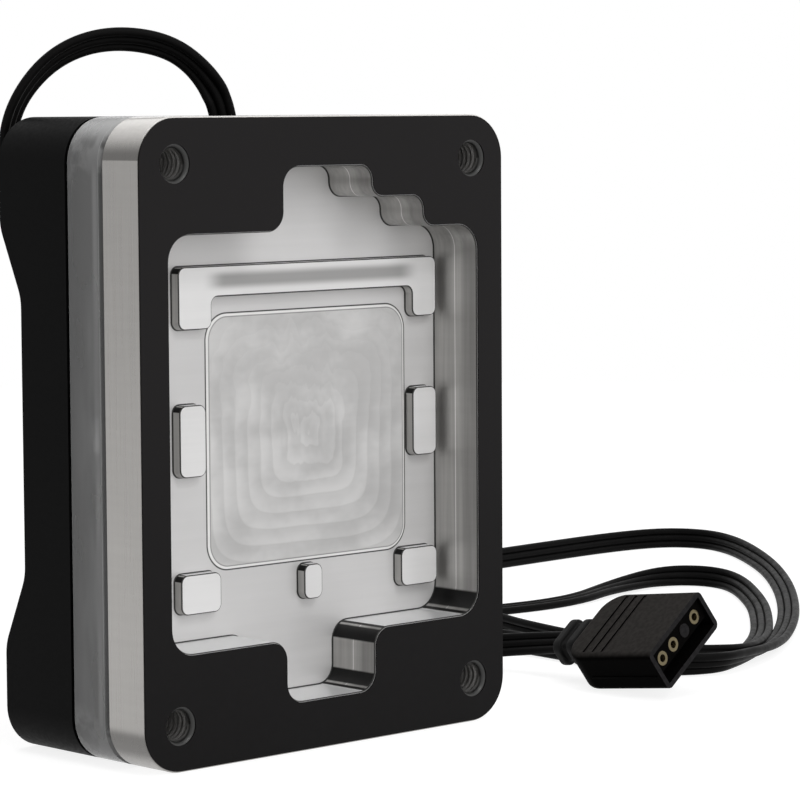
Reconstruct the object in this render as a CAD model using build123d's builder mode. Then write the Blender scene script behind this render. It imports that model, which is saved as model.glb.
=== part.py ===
from build123d import *
import math
import os

# Outside of the block, in millimetres
block_width = 54.0
block_height = 70.0
corner_radius = 5.0
film_thickness = 0.15
plate_thickness = 5.85
body_thickness = 6.4
cover_thickness = 11.6

# Pocket for the processor package, set in from the outside by its rims
side_rim = 4.1
end_rim = 5.6
pocket_depth = 7.2
pocket_radius = 2.9
tab_width = 13.1
tab_length = 7.0
tab_radius = 2.2
step_shift = 0.275
step_radius = 1.65

# Contact pads, set in from the pocket's walls, and the die face inside them
pad_gap_left = 6.18
pad_gap_right = 0.92
pad_gap_top = 3.7
pad_gap_bottom = 3.1
pad_height = 1.27
pad_radius = 0.9
pad_width = 3.73
bar_width = 3.35
leg_length = 6.85
wide_leg_width = 4.7
side_pad_length = 7.9
foot_pad_width = 5.7
foot_pad_length = 4.4
middle_pad_width = 2.7
middle_pad_length = 3.95
die_gap_left = 4.75
die_gap_right = 3.95
die_gap_top = 5.3
die_gap_bottom = 4.3
die_radius = 3.0
die_step = 0.15
die_taper = 70.0

# Threaded corner holes for the board's screws
hole_inset = 5.0
hole_diameter = 3.4
hole_mouth_diameter = 4.1

# Boss and fins on the back of the plate
boss_wall = 1.4
floor_thickness = 1.4
fin_pitch = 0.95
fin_thickness = 0.45
fin_height = 2.0
fin_inset = 2.0
fin_margin = 0.6

# Fin chamber, flow plate and seal
header_left = 6.6
header_right = 4.6
flow_plate_thickness = 0.5
slot_margin = 0.8
slot_end_margin = 3.7
seal_width = 1.6
seal_height = 1.2
seal_margin = 0.5
seal_radius = 3.0
gallery_depth = 0.8
seal_clearance = 0.1

# Water ports
port_inset = 14.0
port_boss_diameter = 16.0
port_boss_proud = 0.3
port_thread_diameter = 11.5
port_thread_depth = 6.5
port_bore_diameter = 8.0

# Edges of the clear body
body_front_chamfer = 0.75
body_back_chamfer = 0.5

# Cover
saddle_floor_length = 30.6
saddle_slope = 7.8
saddle_depth = 3.6
saddle_radius = 5.0

# Screws that hold the stack
screw_tab_gap = 5.45
screw_inset = 4.0
screw_diameter = 3.0
screw_core_diameter = 2.5
screw_head_diameter = 5.5
screw_head_height = 3.0
screw_thread_length = 3.5
screw_socket_size = 2.5
screw_socket_depth = 1.5
head_recess = 0.6

# Light board
board_inset = 3.0
board_strip_inset = 16.0
board_strip_height = 6.0
board_web_width = 2.2
board_thickness = 1.0
led_per_strip = 6
led_end_margin = 5.5
led_size = 2.0
led_height = 0.8
capacitor_length = 1.0
capacitor_width = 0.5
capacitor_height = 0.5
capacitor_offset = 2.2

# Lead and gland
lead_diameter = 3.0
lead_exit_x = 0.5
lead_exit_depth = 5.4
gland_diameter = 6.6
gland_length = 3.0
gland_recess = 4.8
gland_hole_depth = 14.0
gland_clearance = 0.02
arch_turn = 153.5
lead_floor_height = 1.55
lead_last_run = 7.0

# Plug
plug_length = 14.6
plug_width = 12.1
plug_thickness = 5.65
plug_wall = 0.65
plug_radius = 0.8
plug_shoulder_radius = 3.2
plug_hood_depth = 5.0
plug_bar_height = 3.0
plug_bar_recess = 0.6
plug_yaw = 0.3
plug_pitch = 6.95
plug_roll = 34.4
plug_face_x = 51.84
plug_face_depth = -5.87
contact_drop = 1.75
contact_pitch = 2.54
contact_positions = 4
contact_blank = 1
contact_diameter = 1.8
contact_bore = 0.9
contact_length = 4.0
grip_count = 3
grip_pitch = 1.5
grip_depth = 0.2
grip_width = 0.5
grip_start = 9.6
relief_width = 5.8
relief_height = 3.8
relief_length = 4.6
relief_ring = 1.15
relief_step = 0.6
relief_radius = 1.2
relief_rings = 2

# Clearances
boss_clearance = 0.15
port_clearance = 0.2
screw_clearance = 0.2
thread_clearance = 0.05
board_clearance = 0.3
film_margin = 0.15
film_hole_margin = 0.05
plate_clearance = 0.15
floor_gap = 0.05

# Depths from the front face
total_depth = film_thickness + plate_thickness + body_thickness + cover_thickness
flange_back = film_thickness + plate_thickness
body_back = flange_back + body_thickness
boss_back = pocket_depth + floor_thickness
fin_tip = boss_back + fin_height
chamber_top = fin_tip + flow_plate_thickness
saddle_level = total_depth - saddle_depth
port_mouth = saddle_level + port_boss_proud
board_front = body_back + board_clearance + led_height
board_back = board_front + board_thickness

# Middle of the lead's hole, set back from the cover's joint with the body
lead_exit_y = body_back + lead_exit_depth - total_depth / 2

# Sketches look at the front of the block, from its middle
front = Plane(origin=(0, -total_depth / 2, block_height / 2), x_dir=(1, 0, 0), z_dir=(0, -1, 0))
pocket_width = block_width - 2 * side_rim
pocket_height = block_height - 2 * (end_rim + tab_length)
pad_span_x = pocket_width - pad_gap_left - pad_gap_right
pad_span_z = pocket_height - pad_gap_top - pad_gap_bottom
package_x = (pad_gap_left - pad_gap_right) / 2
package_z = (pad_gap_bottom - pad_gap_top) / 2
die_width = pad_span_x - die_gap_left - die_gap_right
die_height = pad_span_z - die_gap_top - die_gap_bottom
die_x = package_x + (die_gap_left - die_gap_right) / 2
die_z = package_z + (die_gap_bottom - die_gap_top) / 2
hole_spacing_x = block_width - 2 * hole_inset
hole_spacing_z = block_height - 2 * hole_inset
screw_spacing_x = tab_width + 2 * screw_tab_gap
screw_spacing_z = block_height - 2 * screw_inset
port_spacing = block_width - 2 * port_inset
board_length = block_width - 2 * board_inset
board_strip_spacing = block_height - 2 * board_strip_inset
led_pitch = (board_length - 2 * led_end_margin) / (led_per_strip - 1)
fin_length = die_width - 2 * fin_inset
fin_count = int((die_height - 2 * fin_inset - fin_thickness) / fin_pitch) + 1
chamber_left = die_x - fin_length / 2 - header_left
chamber_right = die_x + fin_length / 2 + header_right
chamber_x = (chamber_left + chamber_right) / 2
chamber_width = chamber_right - chamber_left
chamber_height = (fin_count - 1) * fin_pitch + fin_thickness + 2 * fin_margin
slot_length = chamber_height - 2 * slot_end_margin
seal_width_at_middle = chamber_width + 2 * seal_margin + seal_width + 2 * seal_clearance
seal_height_at_middle = chamber_height + 2 * seal_margin + seal_width + 2 * seal_clearance
pocket_right = pocket_width / 2
pocket_top = pocket_height / 2
tab_right = tab_width / 2
tab_top = pocket_top + tab_length
step_right = (tab_right + pocket_right) / 2 - step_shift
step_top = pocket_top + tab_length / 2
os.makedirs("parts", exist_ok=True)

# Pocket outline with its tabs and the two steps at the upper right
with BuildSketch() as pocket_outline:
    with BuildLine():
        Polyline(
            (-tab_right, tab_top),
            (tab_right, tab_top),
            (tab_right, step_top),
            (step_right, step_top),
            (step_right, pocket_top),
            (pocket_right, pocket_top),
            (pocket_right, -pocket_top),
            (tab_right, -pocket_top),
            (tab_right, -tab_top),
            (-tab_right, -tab_top),
            (-tab_right, -pocket_top),
            (-pocket_right, -pocket_top),
            (-pocket_right, pocket_top),
            (-tab_right, pocket_top),
            close=True,
        )
    make_face()
    outer_corners = pocket_outline.vertices().filter_by(lambda v: abs(abs(v.X) - pocket_right) < 0.01)
    fillet(outer_corners, pocket_radius)
    step_corners = pocket_outline.vertices().filter_by(
        lambda v: v.X > 0 and v.Y > pocket_top - 0.01 and v.X < step_right + 0.01
    )
    fillet(step_corners, step_radius)
    tab_corners = pocket_outline.vertices().filter_by(
        lambda v: abs(abs(v.X) - tab_right) < 0.01 and (v.X < 0 or v.Y < 0)
    )
    fillet(tab_corners, tab_radius)

# Cold plate: flange, boss, pocket, pads, die face, fins and threaded holes
with BuildPart() as cold_plate:
    with BuildSketch(front.offset(-film_thickness)):
        RectangleRounded(block_width, block_height, corner_radius)
    extrude(amount=-plate_thickness)
    with BuildSketch(front.offset(-flange_back)):
        offset(pocket_outline.sketch, boss_wall)
    extrude(amount=-(boss_back - flange_back))
    with BuildSketch(front):
        add(pocket_outline.sketch)
    extrude(amount=-pocket_depth, mode=Mode.SUBTRACT)
    with BuildSketch(front.offset(-pocket_depth)) as pads:
        with Locations((package_x, package_z + pad_span_z / 2)):
            Rectangle(pad_span_x, leg_length, align=(Align.CENTER, Align.MAX))
        with Locations((package_x + (wide_leg_width - pad_width) / 2, package_z + pad_span_z / 2 - bar_width)):
            Rectangle(
                pad_span_x - wide_leg_width - pad_width,
                leg_length,
                align=(Align.CENTER, Align.MAX),
                mode=Mode.SUBTRACT,
            )
        with Locations((package_x, package_z)):
            with GridLocations(pad_span_x - pad_width, 0, 2, 1):
                Rectangle(pad_width, side_pad_length)
        with Locations((package_x, package_z - pad_span_z / 2)):
            with GridLocations(pad_span_x - foot_pad_width, 0, 2, 1):
                Rectangle(foot_pad_width, foot_pad_length, align=(Align.CENTER, Align.MIN))
            Rectangle(middle_pad_width, middle_pad_length, align=(Align.CENTER, Align.MIN))
        fillet(pads.vertices(), pad_radius)
    extrude(amount=pad_height)
    with BuildSketch(front.offset(-pocket_depth)):
        with Locations((die_x, die_z)):
            RectangleRounded(die_width, die_height, die_radius)
    extrude(amount=die_step, taper=die_taper)
    with BuildSketch(front.offset(-boss_back)):
        with Locations((die_x, die_z)):
            with GridLocations(0, fin_pitch, 1, fin_count):
                Rectangle(fin_length, fin_thickness)
    extrude(amount=-fin_height)
    with BuildSketch(front.offset(-film_thickness)):
        with GridLocations(hole_spacing_x, hole_spacing_z, 2, 2):
            Circle(hole_diameter / 2)
    extrude(amount=-plate_thickness, mode=Mode.SUBTRACT)
    mouths = cold_plate.edges().filter_by(GeomType.CIRCLE).group_by(Axis.Y)[0]
    mouths = mouths.filter_by(lambda e: abs(e.radius - hole_diameter / 2) < 0.01)
    chamfer(mouths, (hole_mouth_diameter - hole_diameter) / 2)
    with BuildSketch(front.offset(-flange_back)):
        with GridLocations(screw_spacing_x, screw_spacing_z, 2, 2):
            Circle(screw_core_diameter / 2 + thread_clearance)
    extrude(amount=screw_thread_length + floor_gap, mode=Mode.SUBTRACT)
cold_plate.part.label = "cold_plate"
export_step(cold_plate.part, "parts/cold_plate.step")

# Insulating film on the front of the plate
with BuildPart() as insulating_film:
    with BuildSketch(front):
        RectangleRounded(
            block_width - 2 * film_margin, block_height - 2 * film_margin, corner_radius - film_margin
        )
        offset(pocket_outline.sketch, film_margin, mode=Mode.SUBTRACT)
        with GridLocations(hole_spacing_x, hole_spacing_z, 2, 2):
            Circle(hole_mouth_diameter / 2 + film_hole_margin, mode=Mode.SUBTRACT)
    extrude(amount=-film_thickness)
insulating_film.part.label = "insulating_film"
export_step(insulating_film.part, "parts/insulating_film.step")

# Clear body: recess for the boss, fin chamber, seal groove and two port bosses
with BuildPart() as acrylic_body:
    with BuildSketch(front.offset(-flange_back)):
        RectangleRounded(block_width, block_height, corner_radius)
    extrude(amount=-body_thickness)
    chamfer(acrylic_body.faces().sort_by(Axis.Y)[0].edges(), body_front_chamfer)
    chamfer(acrylic_body.faces().sort_by(Axis.Y)[-1].edges(), body_back_chamfer)
    with BuildSketch(front.offset(-flange_back)):
        offset(pocket_outline.sketch, boss_wall + boss_clearance)
    extrude(amount=-(boss_back - flange_back), mode=Mode.SUBTRACT)
    with BuildSketch(front.offset(-boss_back)):
        with Locations((chamber_x, die_z)):
            Rectangle(chamber_width, chamber_height)
    extrude(amount=-(chamber_top - boss_back), mode=Mode.SUBTRACT)
    with BuildSketch(front.offset(-boss_back)):
        with Locations((chamber_x, die_z)):
            RectangleRounded(
                seal_width_at_middle + seal_width + 2 * seal_clearance,
                seal_height_at_middle + seal_width + 2 * seal_clearance,
                seal_radius + seal_width / 2 + seal_clearance,
            )
            RectangleRounded(
                seal_width_at_middle - seal_width - 2 * seal_clearance,
                seal_height_at_middle - seal_width - 2 * seal_clearance,
                seal_radius - seal_width / 2 - seal_clearance,
                mode=Mode.SUBTRACT,
            )
    extrude(amount=-seal_height, mode=Mode.SUBTRACT)
    with BuildSketch(front.offset(-body_back)):
        with GridLocations(port_spacing, 0, 2, 1):
            Circle(port_boss_diameter / 2)
    extrude(amount=-(port_mouth - body_back))
    with BuildSketch(front.offset(-port_mouth)):
        with GridLocations(port_spacing, 0, 2, 1):
            Circle(port_thread_diameter / 2)
    extrude(amount=port_thread_depth, mode=Mode.SUBTRACT)
    with BuildSketch(front.offset(-port_mouth)):
        with GridLocations(port_spacing, 0, 2, 1):
            Circle(port_bore_diameter / 2)
    extrude(amount=port_mouth - chamber_top, mode=Mode.SUBTRACT)
    with BuildSketch(front.offset(-chamber_top)):
        with Locations((port_spacing / 2, 0)):
            Rectangle(chamber_right - port_spacing / 2, port_bore_diameter, align=(Align.MIN, Align.CENTER))
    extrude(amount=-gallery_depth, mode=Mode.SUBTRACT)
    with BuildSketch(front.offset(-flange_back)):
        with GridLocations(screw_spacing_x, screw_spacing_z, 2, 2):
            Circle(screw_diameter / 2 + screw_clearance)
    extrude(amount=-body_thickness, mode=Mode.SUBTRACT)
acrylic_body.part.label = "acrylic_body"
export_step(acrylic_body.part, "parts/acrylic_body.step")

# Flow plate between the fins and the chamber's roof
with BuildPart() as flow_plate:
    with BuildSketch(front.offset(-fin_tip)):
        with Locations((chamber_x, die_z)):
            Rectangle(chamber_width - 2 * plate_clearance, chamber_height - 2 * plate_clearance)
        with Locations((chamber_left + slot_margin, die_z)):
            Rectangle(
                header_left - 2 * slot_margin, slot_length, align=(Align.MIN, Align.CENTER), mode=Mode.SUBTRACT
            )
        with Locations((chamber_right - slot_margin, die_z)):
            Rectangle(
                header_right - 2 * slot_margin, slot_length, align=(Align.MAX, Align.CENTER), mode=Mode.SUBTRACT
            )
    extrude(amount=-flow_plate_thickness)
flow_plate.part.label = "flow_plate"
export_step(flow_plate.part, "parts/flow_plate.step")

# Seal pressed flat between the boss and its groove
with BuildPart() as main_seal:
    with BuildSketch(front.offset(-boss_back)):
        with Locations((chamber_x, die_z)):
            RectangleRounded(
                seal_width_at_middle + seal_width, seal_height_at_middle + seal_width, seal_radius + seal_width / 2
            )
            RectangleRounded(
                seal_width_at_middle - seal_width,
                seal_height_at_middle - seal_width,
                seal_radius - seal_width / 2,
                mode=Mode.SUBTRACT,
            )
    extrude(amount=-seal_height)
main_seal.part.label = "main_seal"
export_step(main_seal.part, "parts/main_seal.step")

# Rear cover: its side profile crossed with the block's outline
half_floor = saddle_floor_length / 2
side = Plane(origin=(-block_width / 2, -total_depth / 2, block_height / 2), x_dir=(0, 1, 0), z_dir=(1, 0, 0))
with BuildPart() as rear_cover:
    with BuildSketch(side) as profile:
        with BuildLine():
            Polyline(
                (body_back, -block_height / 2),
                (body_back, block_height / 2),
                (total_depth, block_height / 2),
                (total_depth, half_floor + saddle_slope),
                (saddle_level, half_floor),
                (saddle_level, -half_floor),
                (total_depth, -half_floor - saddle_slope),
                (total_depth, -block_height / 2),
                close=True,
            )
        make_face()
        bends = profile.vertices().filter_by(lambda v: abs(v.Y) < half_floor + saddle_slope + 0.01)
        fillet(bends, saddle_radius)
    extrude(amount=block_width)
    with BuildSketch(front.offset(-body_back)):
        RectangleRounded(block_width, block_height, corner_radius)
    extrude(amount=-cover_thickness, mode=Mode.INTERSECT)
    with BuildSketch(front.offset(-body_back)):
        with GridLocations(port_spacing, 0, 2, 1):
            Circle(port_boss_diameter / 2 + port_clearance)
    extrude(amount=-cover_thickness, mode=Mode.SUBTRACT)
    with BuildSketch(front.offset(-body_back)):
        with GridLocations(0, board_strip_spacing, 1, 2):
            Rectangle(board_length + 2 * board_clearance, board_strip_height + 2 * board_clearance)
        with Locations((-board_length / 2 - board_clearance, 0)):
            Rectangle(
                board_web_width + 2 * board_clearance, board_strip_spacing, align=(Align.MIN, Align.CENTER)
            )
    extrude(amount=-(board_back - body_back), mode=Mode.SUBTRACT)
    with BuildSketch(front.offset(-body_back)):
        with GridLocations(screw_spacing_x, screw_spacing_z, 2, 2):
            Circle(screw_diameter / 2 + screw_clearance)
    extrude(amount=-cover_thickness, mode=Mode.SUBTRACT)
    with BuildSketch(front.offset(-total_depth)):
        with GridLocations(screw_spacing_x, screw_spacing_z, 2, 2):
            Circle(screw_head_diameter / 2 + screw_clearance)
    extrude(amount=screw_head_height + head_recess, mode=Mode.SUBTRACT)
    with BuildSketch(Plane.XY.offset(block_height)):
        with Locations((lead_exit_x, lead_exit_y)):
            Circle(gland_diameter / 2)
    extrude(amount=-gland_hole_depth, mode=Mode.SUBTRACT)
rear_cover.part.label = "rear_cover"
export_step(rear_cover.part, "parts/rear_cover.step")

# Screws from the back through cover and body into the plate
head_seat = total_depth - head_recess - screw_head_height
with BuildPart() as cover_screws:
    with BuildSketch(front.offset(-head_seat)):
        with GridLocations(screw_spacing_x, screw_spacing_z, 2, 2):
            Circle(screw_head_diameter / 2)
    extrude(amount=-screw_head_height)
    with BuildSketch(front.offset(-head_seat)):
        with GridLocations(screw_spacing_x, screw_spacing_z, 2, 2):
            Circle(screw_diameter / 2)
    extrude(amount=head_seat - flange_back)
    with BuildSketch(front.offset(-flange_back)):
        with GridLocations(screw_spacing_x, screw_spacing_z, 2, 2):
            Circle(screw_core_diameter / 2)
    extrude(amount=screw_thread_length)
    with BuildSketch(front.offset(-head_seat - screw_head_height)):
        with GridLocations(screw_spacing_x, screw_spacing_z, 2, 2):
            RegularPolygon(screw_socket_size / 2, 6, major_radius=False)
    extrude(amount=screw_socket_depth, mode=Mode.SUBTRACT)
cover_screws.part.label = "cover_screws"
export_step(cover_screws.part, "parts/cover_screws.step")

# Light board with two strips and a web beside the port bosses
with BuildPart() as led_board:
    with BuildSketch(front.offset(-board_front)):
        with GridLocations(0, board_strip_spacing, 1, 2):
            Rectangle(board_length, board_strip_height)
        with Locations((-board_length / 2, 0)):
            Rectangle(board_web_width, board_strip_spacing, align=(Align.MIN, Align.CENTER))
    extrude(amount=-board_thickness)
led_board.part.label = "led_board"
export_step(led_board.part, "parts/led_board.step")

# Light chips on the strips
with BuildPart() as led_chips:
    with BuildSketch(front.offset(-board_front)):
        with GridLocations(led_pitch, board_strip_spacing, led_per_strip, 2):
            Rectangle(led_size, led_size)
    extrude(amount=led_height)
led_chips.part.label = "led_chips"
export_step(led_chips.part, "parts/led_chips.step")

# One capacitor beside each light chip
with BuildPart() as led_capacitors:
    with BuildSketch(front.offset(-board_front)):
        with Locations((capacitor_offset, 0)):
            with GridLocations(led_pitch, board_strip_spacing, led_per_strip, 2):
                Rectangle(capacitor_width, capacitor_length)
    extrude(amount=capacitor_height)
led_capacitors.part.label = "led_capacitors"
export_step(led_capacitors.part, "parts/led_capacitors.step")

# Gland at the bottom of the lead's hole
gland_top = block_height - gland_recess
with BuildPart() as cable_gland:
    with BuildSketch(Plane.XY.offset(gland_top)):
        with Locations((lead_exit_x, lead_exit_y)):
            Circle(gland_diameter / 2 - gland_clearance)
    extrude(amount=-gland_length)
cable_gland.part.label = "cable_gland"
export_step(cable_gland.part, "parts/cable_gland.step")

# Plug axes: it rests on its lower rear edge, rolled towards the block, with its nose up a little
yaw = math.radians(plug_yaw)
pitch = math.radians(plug_pitch)
roll = math.radians(plug_roll)
plug_axis = Vector(math.sin(yaw) * math.cos(pitch), -math.cos(yaw) * math.cos(pitch), math.sin(pitch))
plug_level = Vector(math.cos(yaw), math.sin(yaw), 0)
plug_side = plug_level * math.cos(roll) + plug_axis.cross(plug_level) * math.sin(roll)
plug_up = plug_axis.cross(plug_side)

# Height of its open face at which the rounded lower rear edge just touches the floor
plug_rise = plug_radius + (plug_thickness / 2 - plug_radius) * plug_up.Z
plug_rise += math.hypot(plug_side.Z, plug_axis.Z) * (plug_shoulder_radius - plug_radius)
plug_rise += (plug_width / 2 - plug_shoulder_radius) * plug_side.Z
plug_rise += (plug_length - plug_shoulder_radius) * plug_axis.Z
plug_centre = Vector(plug_face_x, plug_face_depth - total_depth / 2, plug_rise)
plug_face = Plane(plug_centre, x_dir=plug_side, z_dir=plug_axis)
plug_top = Plane(plug_centre + plug_up * (plug_thickness / 2), x_dir=plug_side, z_dir=plug_up)

# Plug housing with an open hood, a bar for the contacts and grip lines on top
hood_height = plug_thickness - 2 * plug_wall - plug_bar_height
contact_level = plug_thickness / 2 - plug_wall - contact_drop
contact_x = [(k - (contact_positions - 1) / 2) * contact_pitch for k in range(contact_positions)]
contact_spots = [(x, contact_level) for k, x in enumerate(contact_x) if k != contact_positions - 1 - contact_blank]
with BuildPart() as plug_housing:
    with BuildSketch(plug_top) as plug_plan:
        Rectangle(plug_width, plug_length, align=(Align.CENTER, Align.MIN))
        fillet(plug_plan.vertices().group_by(Axis.Y)[-1], plug_shoulder_radius)
    extrude(amount=-plug_thickness)
    rims = plug_housing.faces().filter_by(Axis(plug_centre, plug_up)).edges()
    fillet(rims.filter_by(lambda e: (e.center() - plug_centre).dot(plug_axis) < -0.01), plug_radius)
    with BuildSketch(plug_face):
        Rectangle(plug_width - 2 * plug_wall, plug_thickness - 2 * plug_wall)
    extrude(amount=-plug_bar_recess, mode=Mode.SUBTRACT)
    with BuildSketch(plug_face):
        with Locations((0, plug_wall - plug_thickness / 2)):
            Rectangle(plug_width - 2 * plug_wall, hood_height, align=(Align.CENTER, Align.MIN))
    extrude(amount=-plug_hood_depth, mode=Mode.SUBTRACT)
    with BuildSketch(plug_face.offset(-plug_bar_recess)):
        with Locations(*contact_spots):
            Circle(contact_diameter / 2)
    extrude(amount=-contact_length, mode=Mode.SUBTRACT)
    with BuildSketch(plug_top):
        with Locations((0, grip_start)):
            with GridLocations(0, grip_pitch, 1, grip_count):
                Rectangle(plug_width - 2 * plug_radius, grip_width)
    extrude(amount=-grip_depth, mode=Mode.SUBTRACT)
plug_housing.part.label = "plug_housing"
export_step(plug_housing.part, "parts/plug_housing.step")

# Brass sockets in the bar
with BuildPart() as plug_contacts:
    with BuildSketch(plug_face.offset(-plug_bar_recess)):
        with Locations(*contact_spots):
            Circle(contact_diameter / 2)
    extrude(amount=-contact_length)
    with BuildSketch(plug_face.offset(-plug_bar_recess)):
        with Locations(*contact_spots):
            Circle(contact_bore / 2)
    extrude(amount=-contact_length / 2, mode=Mode.SUBTRACT)
plug_contacts.part.label = "plug_contacts"
export_step(plug_contacts.part, "parts/plug_contacts.step")

# Ribbed strain relief behind the housing
with BuildPart() as plug_relief:
    with BuildSketch(plug_face.offset(-plug_length)):
        RectangleRounded(relief_width - 2 * relief_step, relief_height - 2 * relief_step, relief_radius - relief_step)
    extrude(amount=-relief_length)
    for ring in range(relief_rings):
        with BuildSketch(plug_face.offset(-plug_length - relief_length + 2 * ring * relief_ring)):
            RectangleRounded(relief_width, relief_height, relief_radius)
        extrude(amount=relief_ring)
plug_relief.part.label = "plug_relief"
export_step(plug_relief.part, "parts/plug_relief.step")

# Route of the lead: over the top, down behind the block, two loops on the floor, into the plug
lead_end = plug_centre - plug_axis * (plug_length + relief_length)
arch_heading = math.radians(arch_turn)
arch = [(0, -gland_recess), (0, 0.2), (2.35, 5.2), (6.9, 8.6), (14.3, 9.3), (20.4, 6.6), (24.6, 0.4)]
route = [
    (lead_exit_x + s * math.cos(arch_heading), lead_exit_y + s * math.sin(arch_heading), block_height + h)
    for s, h in arch
]
back = total_depth / 2
drop = [
    (-20.9, 5.6, 0.905),
    (-16.6, 6.6, 0.78),
    (-8.8, 7.6, 0.665),
    (-1.6, 8.8, 0.545),
    (2.6, 11.0, 0.4),
    (4.8, 15.4, 0.245),
    (8.0, 22.0, 0.1),
]
route += [(x, back + behind, block_height * share) for x, behind, share in drop]
floor_route = [
    (15.0, 42.5, 0), (25.0, 49.5, 0), (37.0, 54.0, 0), (50.5, 55.3, 0), (65.5, 52.5, 0), (81.5, 48.0, 0),
    (97.0, 47.2, 0), (109.0, 49.1, 0), (121.6, 49.3, 0), (127.8, 43.0, 0), (127.6, 34.1, 0), (118.4, 25.6, 0),
    (105.5, 14.0, 0), (90.5, 3.1, 0), (78.0, -4.0, 0), (70.8, -2.8, 0), (66.0, 2.8, 0), (66.2, 14.0, 0),
    (68.0, 31.5, 0.6), (71.8, 50.5, 3.4), (77.0, 65.0, 0), (86.5, 76.5, 0), (103.0, 82.5, 0), (124.0, 84.0, 0),
    (146.0, 83.5, 0), (160.5, 77.0, 0), (161.0, 63.5, 0), (148.0, 49.5, 0), (130.0, 32.0, 0), (112.0, 15.5, 0),
    (95.5, 2.5, 0), (83.5, -5.3, 0), (73.4, -12.0, 0), (65.9, -11.0, 0), (61.0, -5.4, 0), (60.8, 6.0, 0),
    (61.4, 19.5, 0), (61.0, 32.0, 0), (54.8, 40.2, 0), (45.2, 41.2, 0), (38.2, 34.8, 0), (38.6, 25.6, 0),
    (45.5, 18.5, 0.8),
]
route += [(x, y, lead_floor_height + lift) for x, y, lift in floor_route]
last_point = lead_end - plug_axis * lead_last_run
route += [(last_point.X, last_point.Y, last_point.Z), (lead_end.X, lead_end.Y, lead_end.Z)]
route_points = [Vector(*point) for point in route]
bend_radii = []
for before, here, after in zip(route_points, route_points[1:], route_points[2:]):
    turn = math.radians((here - before).get_angle(after - here))
    shorter = min((here - before).length, (after - here).length)
    bend_radii.append(min(0.45 * shorter / math.tan(turn / 2), 400.0))
print("bend radii", [round(radius, 1) for radius in bend_radii])

# Lead as a plain tube along the route
with BuildPart() as light_lead:
    with BuildLine() as lead_line:
        FilletPolyline(*route_points, radius=bend_radii)
    with BuildSketch(Plane(lead_line.line @ 0, z_dir=lead_line.line % 0)):
        Circle(lead_diameter / 2)
    sweep()
lead_length = sum(edge.length for edge in lead_line.edges())
print("lead length", round(lead_length, 1))
light_lead.part.label = "light_lead"
export_step(light_lead.part, "parts/light_lead.step")
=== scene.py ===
import bpy
import math
from mathutils import Matrix, Vector


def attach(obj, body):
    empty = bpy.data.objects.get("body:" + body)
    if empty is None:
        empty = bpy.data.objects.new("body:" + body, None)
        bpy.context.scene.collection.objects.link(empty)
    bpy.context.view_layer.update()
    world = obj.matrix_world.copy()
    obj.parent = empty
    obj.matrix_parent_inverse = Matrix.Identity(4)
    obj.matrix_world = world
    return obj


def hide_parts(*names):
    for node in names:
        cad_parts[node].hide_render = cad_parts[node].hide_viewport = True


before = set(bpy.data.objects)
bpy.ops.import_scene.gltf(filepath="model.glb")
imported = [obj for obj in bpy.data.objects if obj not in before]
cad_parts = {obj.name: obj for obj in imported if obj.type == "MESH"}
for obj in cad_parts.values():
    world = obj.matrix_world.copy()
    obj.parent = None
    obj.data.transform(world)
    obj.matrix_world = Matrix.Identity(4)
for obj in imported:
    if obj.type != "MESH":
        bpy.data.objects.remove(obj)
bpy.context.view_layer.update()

# Cold plate: a copper slab with a stepped pocket, raised pads and a flat die face milled into
# its front, plated all over with bright nickel. Four holes are tapped in its corners.
MM = 0.001
PLATE_EDGE = 0.12 * MM
SMOOTH_ANGLE = math.radians(32)
PLATE_MIDDLE = (0, 0, 35.0 * MM)
PLATE_HALF = (27.0 * MM, 0, 35.0 * MM)
PLATE_RADIUS = 5.0 * MM
BAND_DEPTH = 0.6 * MM
BAND_SHADING_Z = (15.0 * MM, 65.0 * MM)
BAND_SHADING_TONES = (0.375, 0.315)
BAND_CORNER_Z = 65.4 * MM
CORNER_REFLECTION_Z = (66.0 * MM, 69.7 * MM)
CORNER_REFLECTION_TONES = (0.145, 0.95)
CORNER_POLISH_Z = (66.0 * MM, 69.0 * MM)
CORNER_PALE_Z = (66.5 * MM, 69.0 * MM)
FOOT_RISE_Z = (0.8 * MM, 3.0 * MM)
FOOT_FALL_Z = (5.4 * MM, 3.8 * MM)
PAD_TOP_Y = -6.07 * MM
POCKET_FLOOR_Y = -4.8 * MM
CUT_LINE_Y = -8.3 * MM
WALL_SHADE_Y = (-9.0 * MM, -10.0 * MM)
BAR_MIDDLE_Z = 52.1 * MM
HOLE_SPACING = (44.0 * MM, 60.0 * MM)
HOLE_ZONE = 2.4 * MM
HOLE_MOUTH_Y = (-11.5 * MM, -10.9 * MM)
DIE_CENTRE = (3.03 * MM, 0, 34.2 * MM)
DIE_HALF = (14.6 * MM, 0, 13.8 * MM)
DIE_RADIUS = 2.6 * MM
DIE_RIM = 0.41 * MM
DIE_RINGS = 8.0
RING_SQUARENESS = 6.0
FLOOR_COLOUR = (0.645, 0.637, 0.635, 1)
PAD_COLOUR = (0.80, 0.793, 0.79, 1)
SMEAR_COLOUR = (0.36, 0.356, 0.352, 1)
DIE_COLOUR = (0.63, 0.623, 0.618, 1)
SHELF_LIGHT_COLOUR = (0.93, 0.935, 0.94, 1)
WALL_COLOUR = (0.49, 0.483, 0.469, 1)
BAND_COLOUR = (1.0, 0.97, 0.935, 1)
EDGE_SHADE_COLOUR = (0.05, 0.0495, 0.048, 1)
PAINTED_DARK_COLOUR = (0.012, 0.012, 0.012, 1)
LINE_COLOUR = (0.86, 0.85, 0.84, 1)
MOUTH_SHADE_COLOUR = (0.04, 0.04, 0.039, 1)
THREAD_SHADE_COLOUR = (0.36, 0.353, 0.345, 1)


def select_only(piece):
    bpy.ops.object.select_all(action="DESELECT")
    piece.select_set(True)
    bpy.context.view_layer.objects.active = piece


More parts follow.
